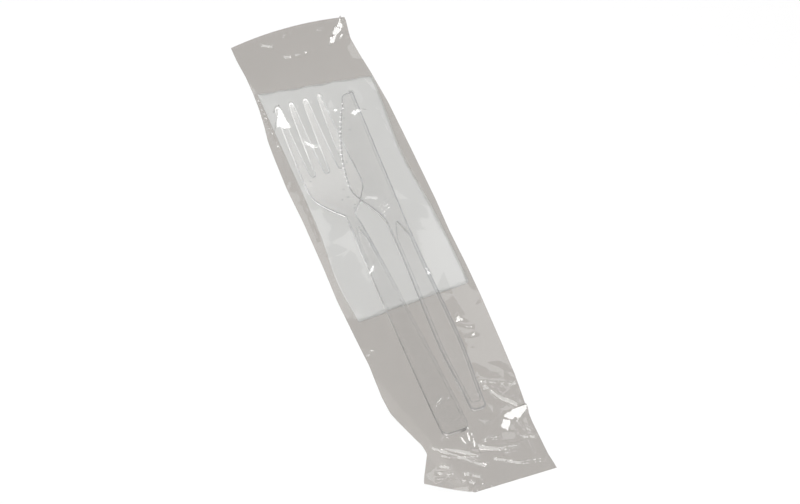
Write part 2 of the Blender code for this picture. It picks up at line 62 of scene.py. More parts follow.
# Lamps: the way to each, in degrees round from straight ahead and above the table
LAMP_DISTANCE = 1.6
KEY_TURN, KEY_ELEVATION, KEY_SIZE, KEY_WATTS = 0.0, 92.0, (0.44, 0.26), 3.2
FILL_SIZE, FILL_WATTS, FILL_BEHIND = (1.3, 0.8), 4.6, 1.02
MAIN_TURN, MAIN_ELEVATION, MAIN_SIZE, MAIN_WATTS = 200.0, 58.0, (1.0, 1.0), 11.0
LEFT_TURN, LEFT_ELEVATION, LEFT_SIZE, LEFT_WATTS = -65.0, 35.0, (0.35, 0.9), 1.3
RIGHT_TURN, RIGHT_ELEVATION, RIGHT_SIZE, RIGHT_WATTS = 25.0, 35.0, (0.35, 0.6), 0.9
WORLD_STRENGTH = 0.40
SKY_LOW, SKY_HIGH = 1.0, 0.40
FLOOR_COLOR = (0.93, 0.93, 0.93, 1.0)
FLOOR_WHITE = 0.6
FLOOR_GLOW = 1.05
FLOOR_REACH = 6.0

# Cutlery
MOULD_VOXEL = 0.00027
MOULD_SMOOTHING, MOULD_PASSES = 0.5, 2
KNIFE_TEETH = (0.0035, 0.0465, 19)
BEAD_RADIUS = 0.00043
BEAD_LEVEL_REACH = 0.0004

# Clear plastic. Pairs after a node's name are for its handle and for its head.
PLASTIC_IOR = 1.58
PLASTIC_COAT_WEIGHT, PLASTIC_COAT_IOR, PLASTIC_COAT_ROUGHNESS = 0.12, 1.8, 0.06
PLASTIC_SMEARS, PLASTIC_ROUGHNESS = 900.0, (0.02, 0.09)
PLASTIC_FLOW, PLASTIC_FLOW_STRETCH = 110.0, (1.0, 0.25, 1.0)
PLASTIC_FLOW_HEIGHT, PLASTIC_FLOW_STRENGTH = 0.0004, 0.25
PLASTIC_SHADE = (0.99, 0.99, 0.99, 1.0)
# Painted shade: a grey tint that darkens the plastic's faces seen at a grazing angle, and how sharply it
# grows
PAINTED_GRAZING_SHADE = (0.16, 0.17, 0.18)
PAINTED_GRAZING_SHADE_POWER = 2.8
# Painted highlight: emission on a band of faces turned part way from the camera, along the plastic's
# rounded edges
PLASTIC_EDGE_LIGHT = {"fork": (0.10, 0.40), "knife": (0.10, 0.16)}
LIT_BAND_START, LIT_BAND_END = (0.34, 0.44), (0.68, 0.54)
# Painted shade: dark lines along the plastic's sharpest edges, found by how pointed the surface is
PAINTED_EDGE_SHADE = (0.60, 0.62, 0.65)
PAINTED_EDGE_SHADE_SHARPNESS = (0.502, 0.53)
# How much of the painted edge shade the handle and the head get
PAINTED_EDGE_SHADE_SHARES = {"fork": (0.22, 1.0), "knife": (1.0, 1.0)}
# How much of the painted grazing shade the handle and the head get
PAINTED_GRAZING_SHADE_SHARES = {"fork": (0.15, 0.9), "knife": (1.0, 1.0)}
PLASTIC_HANDLE_TINT = (0.992, 0.994, 0.996)
BLADE_TINT = (0.945, 0.945, 0.945)
# Where along X the fork's painted edge highlight fades in, so that only its left side gets it
LIT_SIDE = (-0.0010, -0.0070)
HANDLE_END, HEAD_START = -0.030, 0.015
# Painted glow: emission in the fork's head, standing in for light focused through the plastic
GLOW_START, GLOW_FULL = 0.014, 0.046
HEAD_GLOW = 0.075
# Painted highlights: emission along the most pointed crests of the fork's tines
TINES_START, TINES_FULL = 0.050, 0.062
TINE_SHARPNESS = (0.516, 0.550)
TINE_LINE_LIGHT = 0.50
# Painted glow over the whole knife, and painted highlights on the beads of its teeth
KNIFE_GLOW = 0.030
BEAD_LIGHT = 0.34

# Napkin
NAPKIN_PANELS = 5
NAPKIN_PLY = 0.00017
NAPKIN_GAP = 0.00004
NAPKIN_ROWS, NAPKIN_COLUMNS = 110, 40
NAPKIN_FOLD_ANGLES = (-60, -30, 0, 30, 60)
NAPKIN_WAVE, NAPKIN_END_WAVE = 0.00006, 0.0004
PAPER_DARK, PAPER_LIGHT = (0.890, 0.910, 0.912, 1.0), (0.930, 0.950, 0.955, 1.0)
PAPER_BLOTCHES = 60.0
CREPE, CREPE_STRETCH, CREPE_HEIGHT, CREPE_STRENGTH = 1500.0, (0.35, 1.0, 1.0), 0.00006, 0.6
FIBRES, FIBRE_HEIGHT, FIBRE_STRENGTH = 5000.0, 0.00003, 0.5

# The napkin's left bulge and right hollow: how deep, where along it and how far they reach
NAPKIN_BULGE, NAPKIN_BULGE_AT, NAPKIN_BULGE_REACH = 0.0024, 0.16, 0.16
NAPKIN_HOLLOW, NAPKIN_HOLLOW_AT, NAPKIN_HOLLOW_REACH = 0.0026, 0.62, 0.22

# Film
FILM_TINT = (0.711, 0.694, 0.675)
FILM_SHARP = math.radians(14)
FILM_GLOSS = 0.07
FILM_SHADE = (0.96, 0.96, 0.96, 1.0)
FILM_SMEARS, FILM_ROUGHNESS = 300.0, (0.02, 0.07)
FILM_RIPPLE, FILM_RIPPLE_HEIGHT, FILM_RIPPLE_STRENGTH = 160.0, 0.0003, 0.12
FILM_WIDTH = 0.059
FILM_HALF = 0.029
FILM_CELL = (0.00042, 0.00044)
FILM_BACK_CELL = 0.0028
FILM_BACK_WAVE = 0.00012
FILM_BASE = 0.0002
FILM_SEAL = 0.004
SEAL_THICKNESS = 0.00012
SEAL_FADE = 0.006
FILM_THICKNESS = 0.0003
FILM_CLEARANCE = 0.00035
SKIN_LEVELS = ((8, 500), (4, 400), (2, 300), (1, 150))
SKIN_ALONG, SKIN_ACROSS = 0.38, 0.12
FILM_END = 0.13125
KINK_REACH = 0.001
FILM_LEFT = (
    (-0.1313, -0.0301), (-0.1197, -0.0265), (-0.1127, -0.0243), (-0.1069, -0.0221), (-0.1018, -0.0225),
    (-0.0969, -0.0243), (-0.0869, -0.0278), (-0.0820, -0.0293), (-0.0723, -0.0296), (-0.0628, -0.0290),
    (-0.0535, -0.0284), (-0.0443, -0.0287), (-0.0165, -0.0293), (0.0017, -0.0287), (0.0295, -0.0283),
    (0.0485, -0.0287), (0.0672, -0.0280), (0.0765, -0.0274), (0.0856, -0.0260), (0.0948, -0.0250),
    (0.1042, -0.0244), (0.1136, -0.0243), (0.1232, -0.0250), (0.1313, -0.0250),
)
FILM_RIGHT = (
    (-0.1313, 0.0270), (-0.1230, 0.0261), (-0.1050, 0.0259), (-0.0966, 0.0264), (-0.0790, 0.0280),
    (-0.0610, 0.0287), (-0.0340, 0.0295), (-0.0160, 0.0296), (0.0030, 0.0293), (0.0210, 0.0298),
    (0.0500, 0.0297), (0.0790, 0.0294), (0.0990, 0.0281), (0.1090, 0.0271), (0.1190, 0.0264),
    (0.1295, 0.0281),
)
TOP_ARCH = 0.0020
TOP_BOW = 0.0016
FLAP_START = 0.107
CORNER_FOOT = -0.0097
CORNER_CREASE_TOP = (-0.0240, -0.0720)
CORNER_WIDTH, CORNER_LENGTH = 0.0193, 0.029
CORNER_CURL, CORNER_CURL_POWER = 0.0075, 1.3
CORNER_RISE = 0.0065

# Creases of the film
CREASE_FIELD = (0.034, 0.137)
CREASE_TRIES = 9000
CREASE_SPACING = 0.0065
CREASE_HEIGHT = 0.00016
CREASE_FADE = 0.004
CREASE_BASE = 0.1
GATHER_FROM, GATHER_TO = -0.118, -0.070
GATHER_HEIGHT = 0.0004
GATHER_SIDE = 0.004
GATHER_SPACE = 0.45
GLINT_BAND = 0.0010
GLINT_REST = 0.0003
RIDGE_HEIGHT = 0.00034
RIDGE_WIDTH = 0.0009
RIDGE_TAPER = 0.0015

# Places where a crease catches the lamp, in pixels of the photograph
GLINTS = (
    ((340, 20), (336, 27), (343, 28)),
    ((335, 28.5), (332.5, 34), (338, 36), (342, 31)),
    ((330, 38), (330, 44), (338, 40), (340, 36)),
    ((341, 35), (345, 36), (339, 39)),
    ((279, 108), (276, 134), (291, 127.5)),
    ((303, 141), (308, 142.5), (317, 147), (312, 148)),
    ((329, 109.5), (339, 109.5), (338, 110.5), (332, 111)),
    ((349, 113), (354, 110.5), (362, 110.2), (358.5, 112.6), (354, 115)),
    ((369, 275), (368, 269), (372, 267), (376, 260), (374, 270)),
    ((424, 268), (427, 269), (431, 275), (437, 278), (431, 279)),
    ((458, 316), (455, 321), (464, 320)),
    ((465, 326), (472, 326), (472, 328)),
    ((470, 336), (474, 333), (476, 334), (473, 336)),
    ((500, 413), (514, 410), (525, 405), (528, 411), (518, 419), (508, 418)),
    ((503, 419), (511, 421), (508, 430), (501, 427)),
    ((465.5, 425), (467, 426), (473, 437), (471.5, 438)),
    ((472, 438), (473.5, 438), (476, 447), (474.5, 447)),
    ((461, 437), (462.5, 437), (465.5, 443.5), (463.5, 443)),
    ((467, 432), (468.3, 432), (470.5, 441), (469, 441)),
    ((481, 382), (486, 382), (488, 388), (484, 389)),
    ((492, 390), (503, 396), (516, 403), (513, 405), (499, 398)),
    ((508, 452), (514, 446), (519, 444), (513, 450)),
)

# Wider patches that only catch the soft light round the lamp, and how far they lean towards it
SOFT_LEAN = 0.78
SOFT_GLINTS = (
    ((501, 416), (516, 416), (515, 423), (502, 423)),
    ((502, 424), (515, 424), (514, 431), (503, 431)),
    ((502, 432), (515, 432), (514, 439), (503, 439)),
    ((441, 449), (478, 450), (480, 457), (445, 456)),
    ((479, 446), (519, 444), (516, 449), (481, 451)),
    ((484, 384), (492, 384), (496, 390), (488, 389)),
)

# Fine ridges of the film, as lines in pixels of the photograph, and how wide their lit sides are
RIDGE_PIXELS = 1.3
RIDGE_LEVEL, RIDGE_STEEPEST = 6.5, 1.2
RIDGE_PIECE = 13.0
RIDGES = (
    ((262, 45), (273, 46), (277, 51)),
    ((284, 56), (290, 56.5)),
    ((296, 55), (303, 54), (310, 51)),
    ((284, 36), (289, 34)),
    ((318, 29), (321, 28)),
    ((345, 22), (346, 31)),
    ((480, 381), (498, 383), (516, 383), (517, 403), (503, 397), (491, 391), (480, 381)),
    ((441, 449), (460, 450), (480, 456)),
    ((441, 455), (458, 457), (478, 457)),
    ((479, 446), (498, 448), (519, 445)),
    ((482, 441), (490, 438), (498, 437)),
    ((508, 452), (519, 444)),
    ((522, 435.5), (535, 436)),
    ((530, 419), (533, 418)),
    ((527, 428), (530, 429)),
    ((432, 447), (450, 453), (468, 459), (487, 466), (483, 478), (483, 484), (478, 489)),
    ((439, 466), (450, 467)),
    ((437, 473), (454, 474)),
    ((438, 479), (460, 481)),
    ((464, 473), (480, 476)),
    ((462, 480), (476, 482)),
    ((474.5, 462), (487, 464)),
    ((472, 491), (477, 485)),
    ((436, 405), (441, 399)),
    ((386, 408), (389, 405)),
    ((443, 438), (448, 435)),
    ((449, 397), (452, 393)),
    ((369, 354), (372, 351)),
    ((369, 245), (373, 241)),
    ((380, 205), (386, 201)),
    ((382, 208), (388, 204)),
    ((384, 211), (389, 207)),
    ((386, 214), (390, 210)),
    ((367, 197), (377, 197)),
    ((500, 414), (490, 428), (486, 440)),
    ((516, 420), (524, 428), (535, 452)),
    ((495, 458), (520, 462), (545, 458)),
    ((378, 108), (398, 146), (418, 182), (440, 226)),
    ((290, 152), (300, 190), (318, 240)),
)

# Dots of the welded seam on the left
SEAM_FROM, SEAM_TO, SEAM_DOTS = (258, 101), (284, 160), 14
SEAM_DOT = (1, 1.2)


# Scene set-up


def ahead(turn):
    """The level direction that lies this many radians round from the camera's own."""
    angle = VIEW_TURN + turn
    return Vector((math.sin(angle), math.cos(angle), 0.0))


def direction(turn, elevation):
    """From the pack towards something seen at that turn and elevation, in degrees."""
    rise = math.radians(elevation)
    return ahead(math.radians(turn)) * math.cos(rise) + Vector((0, 0, math.sin(rise)))


SIGHT = ahead(0.0) * math.cos(VIEW_ELEVATION) - Vector((0, 0, math.sin(VIEW_ELEVATION)))
SIGHT_RIGHT = ahead(math.pi / 2)
SIGHT_UP = SIGHT_RIGHT.cross(SIGHT)
FOCAL_PIXELS = VIEW_DISTANCE / METRES_PER_PIXEL
KEY_WAY = direction(KEY_TURN, KEY_ELEVATION)


def camera_place():
    across = (PICTURE_WIDTH / 2 - ORIGIN_PIXEL[0]) * METRES_PER_PIXEL
    upward = (ORIGIN_PIXEL[1] - PICTURE_HEIGHT / 2) * METRES_PER_PIXEL
    aim = SIGHT_RIGHT * across + ahead(0.0) * (upward / math.sin(VIEW_ELEVATION))
    return aim - SIGHT * VIEW_DISTANCE


def sight_line(pixel):
    """Unit vector from the camera through a pixel of the photograph."""
    u = (pixel[0] - PICTURE_WIDTH / 2) / FOCAL_PIXELS
    v = (pixel[1] - PICTURE_HEIGHT / 2) / FOCAL_PIXELS
    return (SIGHT + SIGHT_RIGHT * u - SIGHT_UP * v).normalized()


def add_object(name, data):
    piece = bpy.data.objects.new(name, data)
    bpy.context.scene.collection.objects.link(piece)
    return piece


def add_camera():
    lens = bpy.data.cameras.new("camera")
    lens.sensor_width = SENSOR_WIDTH
    lens.lens = FOCAL_PIXELS / PICTURE_WIDTH * SENSOR_WIDTH
    camera = add_object("camera", lens)
    camera.location = camera_place()
    camera.rotation_euler = SIGHT.to_track_quat("-Z", "Y").to_euler()
    bpy.context.scene.camera = camera


def add_lamp(name, way, size, watts):
    light = bpy.data.lights.new(name, "AREA")
    light.shape = "RECTANGLE"
    light.size, light.size_y = size
    light.energy = watts
    lamp = add_object(name, light)
    lamp.location = way * LAMP_DISTANCE
    lamp.rotation_euler = way.to_track_quat("Z", "Y").to_euler()


def calculated(tree, operation, first, second):
    """A math node on two values, each of them an output or a plain number."""
    node = tree.nodes.new("ShaderNodeMath")
    node.operation = operation
    for socket, value in zip(node.inputs, (first, second)):
        if isinstance(value, float):
            socket.default_value = value
        else:
            tree.links.new(value, socket)
    return node.outputs[0]


def any_ray(tree, *kinds):
    """1 for a ray of one of these kinds, else 0."""
    path = tree.nodes.new("ShaderNodeLightPath")
    total = path.outputs[kinds[0]]
    for kind in kinds[1:]:
        total = calculated(tree, "MAXIMUM", total, path.outputs[kind])
    return total


def seen_ray(tree):
    """1 for a ray from the camera, or from gloss or glass that shows what the camera would see."""
    return any_ray(tree, "Is Camera Ray", "Is Glossy Ray", "Is Transmission Ray")


def light_ray(tree):
    """1 for a ray that carries lamp light or matt light, so that clear pieces let it through."""
    return any_ray(tree, "Is Shadow Ray", "Is Diffuse Ray")


def add_world():
    """A white room that grows darker overhead for what gloss and glass show of it."""
    world = bpy.data.worlds.new("studio")
    bpy.context.scene.world = world
    world.use_nodes = True
    tree = world.node_tree
    way = tree.nodes.new("ShaderNodeTexCoord")
    parts = tree.nodes.new("ShaderNodeSeparateXYZ")
    tree.links.new(way.outputs["Generated"], parts.inputs["Vector"])
    sky = remap(tree, parts.outputs["Z"], SKY_LOW, SKY_HIGH)
    strength = tree.nodes.new("ShaderNodeMapRange")
    strength.inputs["To Min"].default_value = WORLD_STRENGTH
    tree.links.new(sky, strength.inputs["To Max"])
    tree.links.new(seen_ray(tree), strength.inputs["Value"])
    shade = tree.nodes["Background"]
    shade.inputs["Color"].default_value = (1.0, 1.0, 1.0, 1.0)
    tree.links.new(strength.outputs["Result"], shade.inputs["Strength"])


def new_material(name):
    material = bpy.data.materials.new(name)
    material.use_nodes = True
    tree = material.node_tree
    tree.nodes.clear()
    out = tree.nodes.new("ShaderNodeOutputMaterial")
    return material, tree, out.inputs["Surface"]


def add_floor():
    material, tree, surface = new_material("studio_floor")
    matt = tree.nodes.new("ShaderNodeBsdfDiffuse")
    matt.inputs["Color"].default_value = FLOOR_COLOR
    glow = tree.nodes.new("ShaderNodeEmission")
    glow.inputs["Strength"].default_value = FLOOR_GLOW
    mix = tree.nodes.new("ShaderNodeMixShader")
    tree.links.new(calculated(tree, "MULTIPLY", seen_ray(tree), FLOOR_WHITE), mix.inputs["Fac"])
    tree.links.new(matt.outputs[0], mix.inputs[1])
    tree.links.new(glow.outputs[0], mix.inputs[2])
    tree.links.new(mix.outputs[0], surface)
    mesh = bpy.data.meshes.new("studio_floor")
    bm = bmesh.new()
    bmesh.ops.create_grid(bm, x_segments=4, y_segments=4, size=FLOOR_REACH)
    bm.to_mesh(mesh)
    bm.free()
    mesh.materials.append(material)
    add_object("studio_floor", mesh)


# Materials


def noise(tree, scale, detail=3.0, stretch=(1.0, 1.0, 1.0)):
    place = tree.nodes.new("ShaderNodeTexCoord")
    mapping = tree.nodes.new("ShaderNodeMapping")
    mapping.inputs["Scale"].default_value = stretch
    texture = tree.nodes.new("ShaderNodeTexNoise")
    texture.inputs["Scale"].default_value = scale
    texture.inputs["Detail"].default_value = detail
    tree.links.new(place.outputs["Object"], mapping.inputs["Vector"])
    tree.links.new(mapping.outputs["Vector"], texture.inputs["Vector"])
    return texture.outputs["Fac"]


def remap(tree, value, low, high):
    """A value from 0 to 1, spread evenly from low to high."""
    ramp = tree.nodes.new("ShaderNodeMapRange")
    ramp.inputs["To Min"].default_value = low
    ramp.inputs["To Max"].default_value = high
    tree.links.new(value, ramp.inputs["Value"])
    return ramp.outputs["Result"]


def bump(tree, height, distance, strength=1.0, below=None):
    node = tree.nodes.new("ShaderNodeBump")
    node.inputs["Distance"].default_value = distance
    node.inputs["Strength"].default_value = strength
    tree.links.new(height, node.inputs["Height"])
    if below:
        tree.links.new(below, node.inputs["Normal"])
    return node.outputs["Normal"]


def principled(tree, color, roughness, **sockets):
    shader = tree.nodes.new("ShaderNodeBsdfPrincipled")
    shader.inputs["Base Color"].default_value = (*color, 1.0)
    shader.inputs["Roughness"].default_value = roughness
    for name, value in sockets.items():
        shader.inputs[name.replace("_", " ")].default_value = value
    return shader


def span(tree, value, start, end):
    """0 where the value is at the start, 1 where it is at the end, with level ends."""
    ramp = tree.nodes.new("ShaderNodeMapRange")
    ramp.interpolation_type = "SMOOTHSTEP"
    ramp.inputs["From Min"].default_value = start
    ramp.inputs["From Max"].default_value = end
    tree.links.new(value, ramp.inputs["Value"])
    return ramp.outputs["Result"]


def tinted(tree, share, tint, below=(1.0, 1.0, 1.0, 1.0)):
    """A colour that takes on the tint by the share."""
    mix = tree.nodes.new("ShaderNodeMix")
    mix.data_type = "RGBA"
    mix.blend_type = "MULTIPLY"
    if isinstance(below, tuple):
        mix.inputs["A"].default_value = below
    else:
        tree.links.new(below, mix.inputs["A"])
    mix.inputs["B"].default_value = (*tint, 1.0)
    tree.links.new(share, mix.inputs["Factor"])
    return mix.outputs["Result"]


def plastic_material(node):
    """Clear polystyrene with painted shade on faces seen at a grazing angle and along sharp edges,
    painted highlights on rounded edges, tine crests and knife beads, and a faint painted glow in the
    fork's head and over the knife that stands in for light focused through the plastic.
    """
    material, tree, surface = new_material("clear_polystyrene_" + node)
    shader = principled(tree, (1.0, 1.0, 1.0), 0.05, Transmission_Weight=1.0, IOR=PLASTIC_IOR,
                        Coat_Weight=PLASTIC_COAT_WEIGHT, Coat_IOR=PLASTIC_COAT_IOR,
                        Coat_Roughness=PLASTIC_COAT_ROUGHNESS)
    place = tree.nodes.new("ShaderNodeTexCoord")
    parts = tree.nodes.new("ShaderNodeSeparateXYZ")
    tree.links.new(place.outputs["Object"], parts.inputs["Vector"])
    along = parts.outputs["Y"]
    head = span(tree, along, HANDLE_END, HEAD_START)
    layer = tree.nodes.new("ShaderNodeLayerWeight")
    layer.inputs["Blend"].default_value = 0.5
    facing = layer.outputs["Facing"]
    # Painted shade on faces seen at a grazing angle
    grazing_shade_share = calculated(tree, "POWER", facing, PAINTED_GRAZING_SHADE_POWER)
    shape = tree.nodes.new("ShaderNodeNewGeometry")
    # Sharp edges, where dark lines of painted shade go
    line = span(tree, shape.outputs["Pointiness"], *PAINTED_EDGE_SHADE_SHARPNESS)
    if node == "fork":
        # Painted highlights on the tines' crests, and a painted glow in the head
        crest = span(tree, shape.outputs["Pointiness"], *TINE_SHARPNESS)
        lit = calculated(tree, "MULTIPLY", crest, span(tree, along, TINES_START, TINES_FULL))
        shine = calculated(tree, "MULTIPLY", lit, TINE_LINE_LIGHT)
        glow = calculated(tree, "MULTIPLY", span(tree, along, GLOW_START, GLOW_FULL), HEAD_GLOW)
        shine = calculated(tree, "ADD", shine, glow)
    else:
        # Painted highlights on the knife's beads, and a painted glow over the whole knife
        bead = tree.nodes.new("ShaderNodeAttribute")
        bead.attribute_name = "bead"
        lit = bead.outputs["Fac"]
        shine = calculated(tree, "ADD", calculated(tree, "MULTIPLY", lit, BEAD_LIGHT), KNIFE_GLOW)
    # Painted shade: dark lines along sharp edges, left out where a highlight is painted
    edge_shade_share = calculated(tree, "MULTIPLY", line, calculated(tree, "SUBTRACT", 1.0, lit))
    edge_shade_share = calculated(tree, "MULTIPLY", edge_shade_share, remap(tree, head, *PAINTED_EDGE_SHADE_SHARES[node]))
    grazing_shade_share = calculated(tree, "MULTIPLY", grazing_shade_share, remap(tree, head, *PAINTED_GRAZING_SHADE_SHARES[node]))
    color = tinted(tree, grazing_shade_share, PAINTED_GRAZING_SHADE)
    color = tinted(tree, edge_shade_share, PAINTED_EDGE_SHADE, color)
    color = tinted(tree, calculated(tree, "SUBTRACT", 1.0, head), PLASTIC_HANDLE_TINT, color)
    if node == "knife":
        color = tinted(tree, head, BLADE_TINT, color)
    tree.links.new(color, shader.inputs["Base Color"])
    # Painted highlight: a glow on faces turned part way from the camera, on the fork only at its left
    # side
    band = span(tree, facing, *LIT_BAND_START)
    band = calculated(tree, "MULTIPLY", band, span(tree, facing, *LIT_BAND_END))
    if node == "fork":
        band = calculated(tree, "MULTIPLY", band, span(tree, parts.outputs["X"], *LIT_SIDE))
    rim_light = calculated(tree, "MULTIPLY", band, remap(tree, head, *PLASTIC_EDGE_LIGHT[node]))
    tree.links.new(calculated(tree, "ADD", rim_light, shine), shader.inputs["Emission Strength"])
    smears = remap(tree, noise(tree, PLASTIC_SMEARS), *PLASTIC_ROUGHNESS)
    tree.links.new(smears, shader.inputs["Roughness"])
    flow = noise(tree, PLASTIC_FLOW, 2.0, PLASTIC_FLOW_STRETCH)
    flow = bump(tree, flow, PLASTIC_FLOW_HEIGHT, PLASTIC_FLOW_STRENGTH)
    tree.links.new(flow, shader.inputs["Normal"])
    clear = tree.nodes.new("ShaderNodeBsdfTransparent")
    clear.inputs["Color"].default_value = PLASTIC_SHADE
    mix = tree.nodes.new("ShaderNodeMixShader")
    tree.links.new(light_ray(tree), mix.inputs["Fac"])
    tree.links.new(shader.outputs[0], mix.inputs[1])
    tree.links.new(clear.outputs[0], mix.inputs[2])
    tree.links.new(mix.outputs[0], surface)
    return material


def paper_material():
    material, tree, surface = new_material("tissue_paper")
    shader = principled(tree, (0.90, 0.90, 0.895), 0.95, Sheen_Weight=0.15)
    color = tree.nodes.new("ShaderNodeMix")
    color.data_type = "RGBA"
    color.inputs["A"].default_value = PAPER_DARK
    color.inputs["B"].default_value = PAPER_LIGHT
    tree.links.new(noise(tree, PAPER_BLOTCHES), color.inputs["Factor"])
    tree.links.new(color.outputs["Result"], shader.inputs["Base Color"])
    crepe = bump(tree, noise(tree, CREPE, 2.0, CREPE_STRETCH), CREPE_HEIGHT, CREPE_STRENGTH)
    fibres = bump(tree, noise(tree, FIBRES, 4.0), FIBRE_HEIGHT, FIBRE_STRENGTH, crepe)
    tree.links.new(fibres, shader.inputs["Normal"])
    tree.links.new(shader.outputs[0], surface)
    return material


def grazing_gloss(tree, straight_on):
    """The share of light that a thin sheet reflects, the same from both its sides."""
    layer = tree.nodes.new("ShaderNodeLayerWeight")
    layer.inputs["Blend"].default_value = 0.5
    return remap(tree, calculated(tree, "POWER", layer.outputs["Facing"], 5.0), straight_on, 1.0)


def film_material():
    """Thin clear film: what is behind it, greyed a little, under a gloss that grows at grazing angles."""
    material, tree, surface = new_material("clear_film")
    clear = tree.nodes.new("ShaderNodeBsdfTransparent")
    tint = tree.nodes.new("ShaderNodeMix")
    tint.data_type = "RGBA"
    tint.inputs["A"].default_value = (*FILM_TINT, 1.0)
    tint.inputs["B"].default_value = FILM_SHADE
    tree.links.new(light_ray(tree), tint.inputs["Factor"])
    tree.links.new(tint.outputs["Result"], clear.inputs["Color"])
    gloss = tree.nodes.new("ShaderNodeBsdfAnisotropic")
    smears = remap(tree, noise(tree, FILM_SMEARS), *FILM_ROUGHNESS)
    tree.links.new(smears, gloss.inputs["Roughness"])
    ripple = bump(tree, noise(tree, FILM_RIPPLE, 2.0), FILM_RIPPLE_HEIGHT, FILM_RIPPLE_STRENGTH)
    tree.links.new(ripple, gloss.inputs["Normal"])
    mix = tree.nodes.new("ShaderNodeMixShader")
    tree.links.new(grazing_gloss(tree, FILM_GLOSS), mix.inputs["Fac"])
    tree.links.new(clear.outputs[0], mix.inputs[1])
    tree.links.new(gloss.outputs[0], mix.inputs[2])
    tree.links.new(mix.outputs[0], surface)
    return material


# Cutlery


def applied(piece):
    """Replaces a piece's mesh by what its modifiers make of it."""
    bpy.context.view_layer.update()
    graph = bpy.context.evaluated_depsgraph_get()
    mesh = bpy.data.meshes.new_from_object(piece.evaluated_get(graph))
    piece.modifiers.clear()
    piece.data = mesh
    mesh.shade_smooth()
    return mesh


def add_beads(mesh):
    """A small round bead on the point of each of the knife's teeth."""
    points = [v.co.copy() for v in mesh.vertices]
    top = max(p.y for p in points)
    first, last, count = KNIFE_TEETH
    half = (last - first) / count / 2
    bm = bmesh.new()
    bm.from_mesh(mesh)
    # Marks the beads, where the knife's material paints highlights
    mark = bm.verts.layers.float.new("bead")
    for down in np.linspace(first, last, count):
        near = [p for p in points if abs(top - down - p.y) < half]
        tip = min(near, key=lambda p: p.x)
        level = [p.z for p in near if p.x < tip.x + BEAD_LEVEL_REACH]
        place = Matrix.Translation((tip.x + BEAD_RADIUS / 2, tip.y, sum(level) / len(level)))
        made = bmesh.ops.create_icosphere(bm, subdivisions=2, radius=BEAD_RADIUS, matrix=place)
        for vertex in made["verts"]:
            vertex[mark] = 1.0
    bm.to_mesh(mesh)
    bm.free()


def moulded(node):
    """The node's own shape with finely rounded edges, as a mould leaves them."""
    piece = add_object(node + "_moulded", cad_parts[node].data.copy())
    remesh = piece.modifiers.new("fine", "REMESH")
    remesh.mode = "VOXEL"
    remesh.voxel_size = MOULD_VOXEL
    smooth = piece.modifiers.new("round", "SMOOTH")
    smooth.factor = MOULD_SMOOTHING
    smooth.iterations = MOULD_PASSES
    mesh = applied(piece)
    if node == "knife":
        add_beads(mesh)
        mesh.shade_smooth()
    mesh.materials.clear()
    mesh.materials.append(plastic_material(node))
    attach(piece, "root")
    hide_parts(node)


# Napkin


def plan_corners(node):
    """A node's four corners seen from above: low left, low right, high right, high left."""
    points = [v.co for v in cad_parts[node].data.vertices]
    ways = ((-1, -1), (1, -1), (1, 1), (-1, 1))
    return [max(points, key=lambda p: p.x * a + p.y * b).xy for a, b in ways]


def napkin_section(width):
    """The folded sheet's run from side to side, as shares of the width, heights and panel numbers."""
    pitch = NAPKIN_PLY + NAPKIN_GAP
    reach = 0.5 - pitch / 2 / width
    section = []
    for panel in range(NAPKIN_PANELS):
        way = 1 if panel % 2 == 0 else -1
        steps = np.linspace(-reach, reach, NAPKIN_COLUMNS)
        section += [(way * x, panel * pitch, panel) for x in steps]
        if panel < NAPKIN_PANELS - 1:
            for angle in np.radians(NAPKIN_FOLD_ANGLES):
                x = way * (reach + math.cos(angle) * pitch / 2 / width)
                section.append((x, (panel + 0.5 + math.sin(angle) / 2) * pitch, panel + 0.5))
    return section


def make_napkin(material):
    """The napkin folded in five, with waves along its ends. Gives its mesh."""
    low_left, low_right, high_right, high_left = plan_corners("napkin")
    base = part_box("napkin")[0].z + NAPKIN_PLY / 2
    width = (low_right - low_left).length
    bm = bmesh.new()
    lines = []
    for share, height, panel in napkin_section(width):
        low = low_left.lerp(low_right, share + 0.5)
        high = high_left.lerp(high_right, share + 0.5)
        line = []
        for t in np.linspace(0.0, 1.0, NAPKIN_ROWS):
            x, y = low.lerp(high, t)
            bulge = NAPKIN_BULGE * math.exp(-(((t - NAPKIN_BULGE_AT) / NAPKIN_BULGE_REACH) ** 2))
            hollow = NAPKIN_HOLLOW * math.exp(-(((t - NAPKIN_HOLLOW_AT) / NAPKIN_HOLLOW_REACH) ** 2))
            x -= bulge * (0.5 - share) + hollow * (0.5 + share)
            wave = math.sin(x * 190 + y * 60) + math.sin(y * 210 - x * 120 + 1.3)
            edge = NAPKIN_END_WAVE * math.sin(x * 520 + panel * 2.1) * (1 - 2 * t) ** 8
            line.append(bm.verts.new((x, y + edge, base + height + NAPKIN_WAVE * (wave + 2))))
        lines.append(line)
    for a, b in zip(lines, lines[1:]):
        for i in range(NAPKIN_ROWS - 1):
            bm.faces.new((a[i], b[i], b[i + 1], a[i + 1]))
    mesh = bpy.data.meshes.new("folded_napkin")
    bm.to_mesh(mesh)
    bm.free()
    mesh.materials.append(material)
    napkin = add_object("folded_napkin", mesh)
    ply = napkin.modifiers.new("ply", "SOLIDIFY")
    ply.thickness = NAPKIN_PLY
    ply.offset = 0.0
    applied(napkin)
    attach(napkin, "root")
    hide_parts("napkin")
    return napkin.data


# Film


def ease(t):
    """0 to 1 with level ends."""
    t = np.clip(t, 0.0, 1.0)
    return t * t * (3 - 2 * t)


def side_line(points, y):
    """X of one of the film's sides at each y, with the kinks softened."""
    at, x = zip(*points)
    reach = np.linspace(-KINK_REACH, KINK_REACH, 5)
    return np.mean([np.interp(y + step, at, x) for step in reach], axis=0)


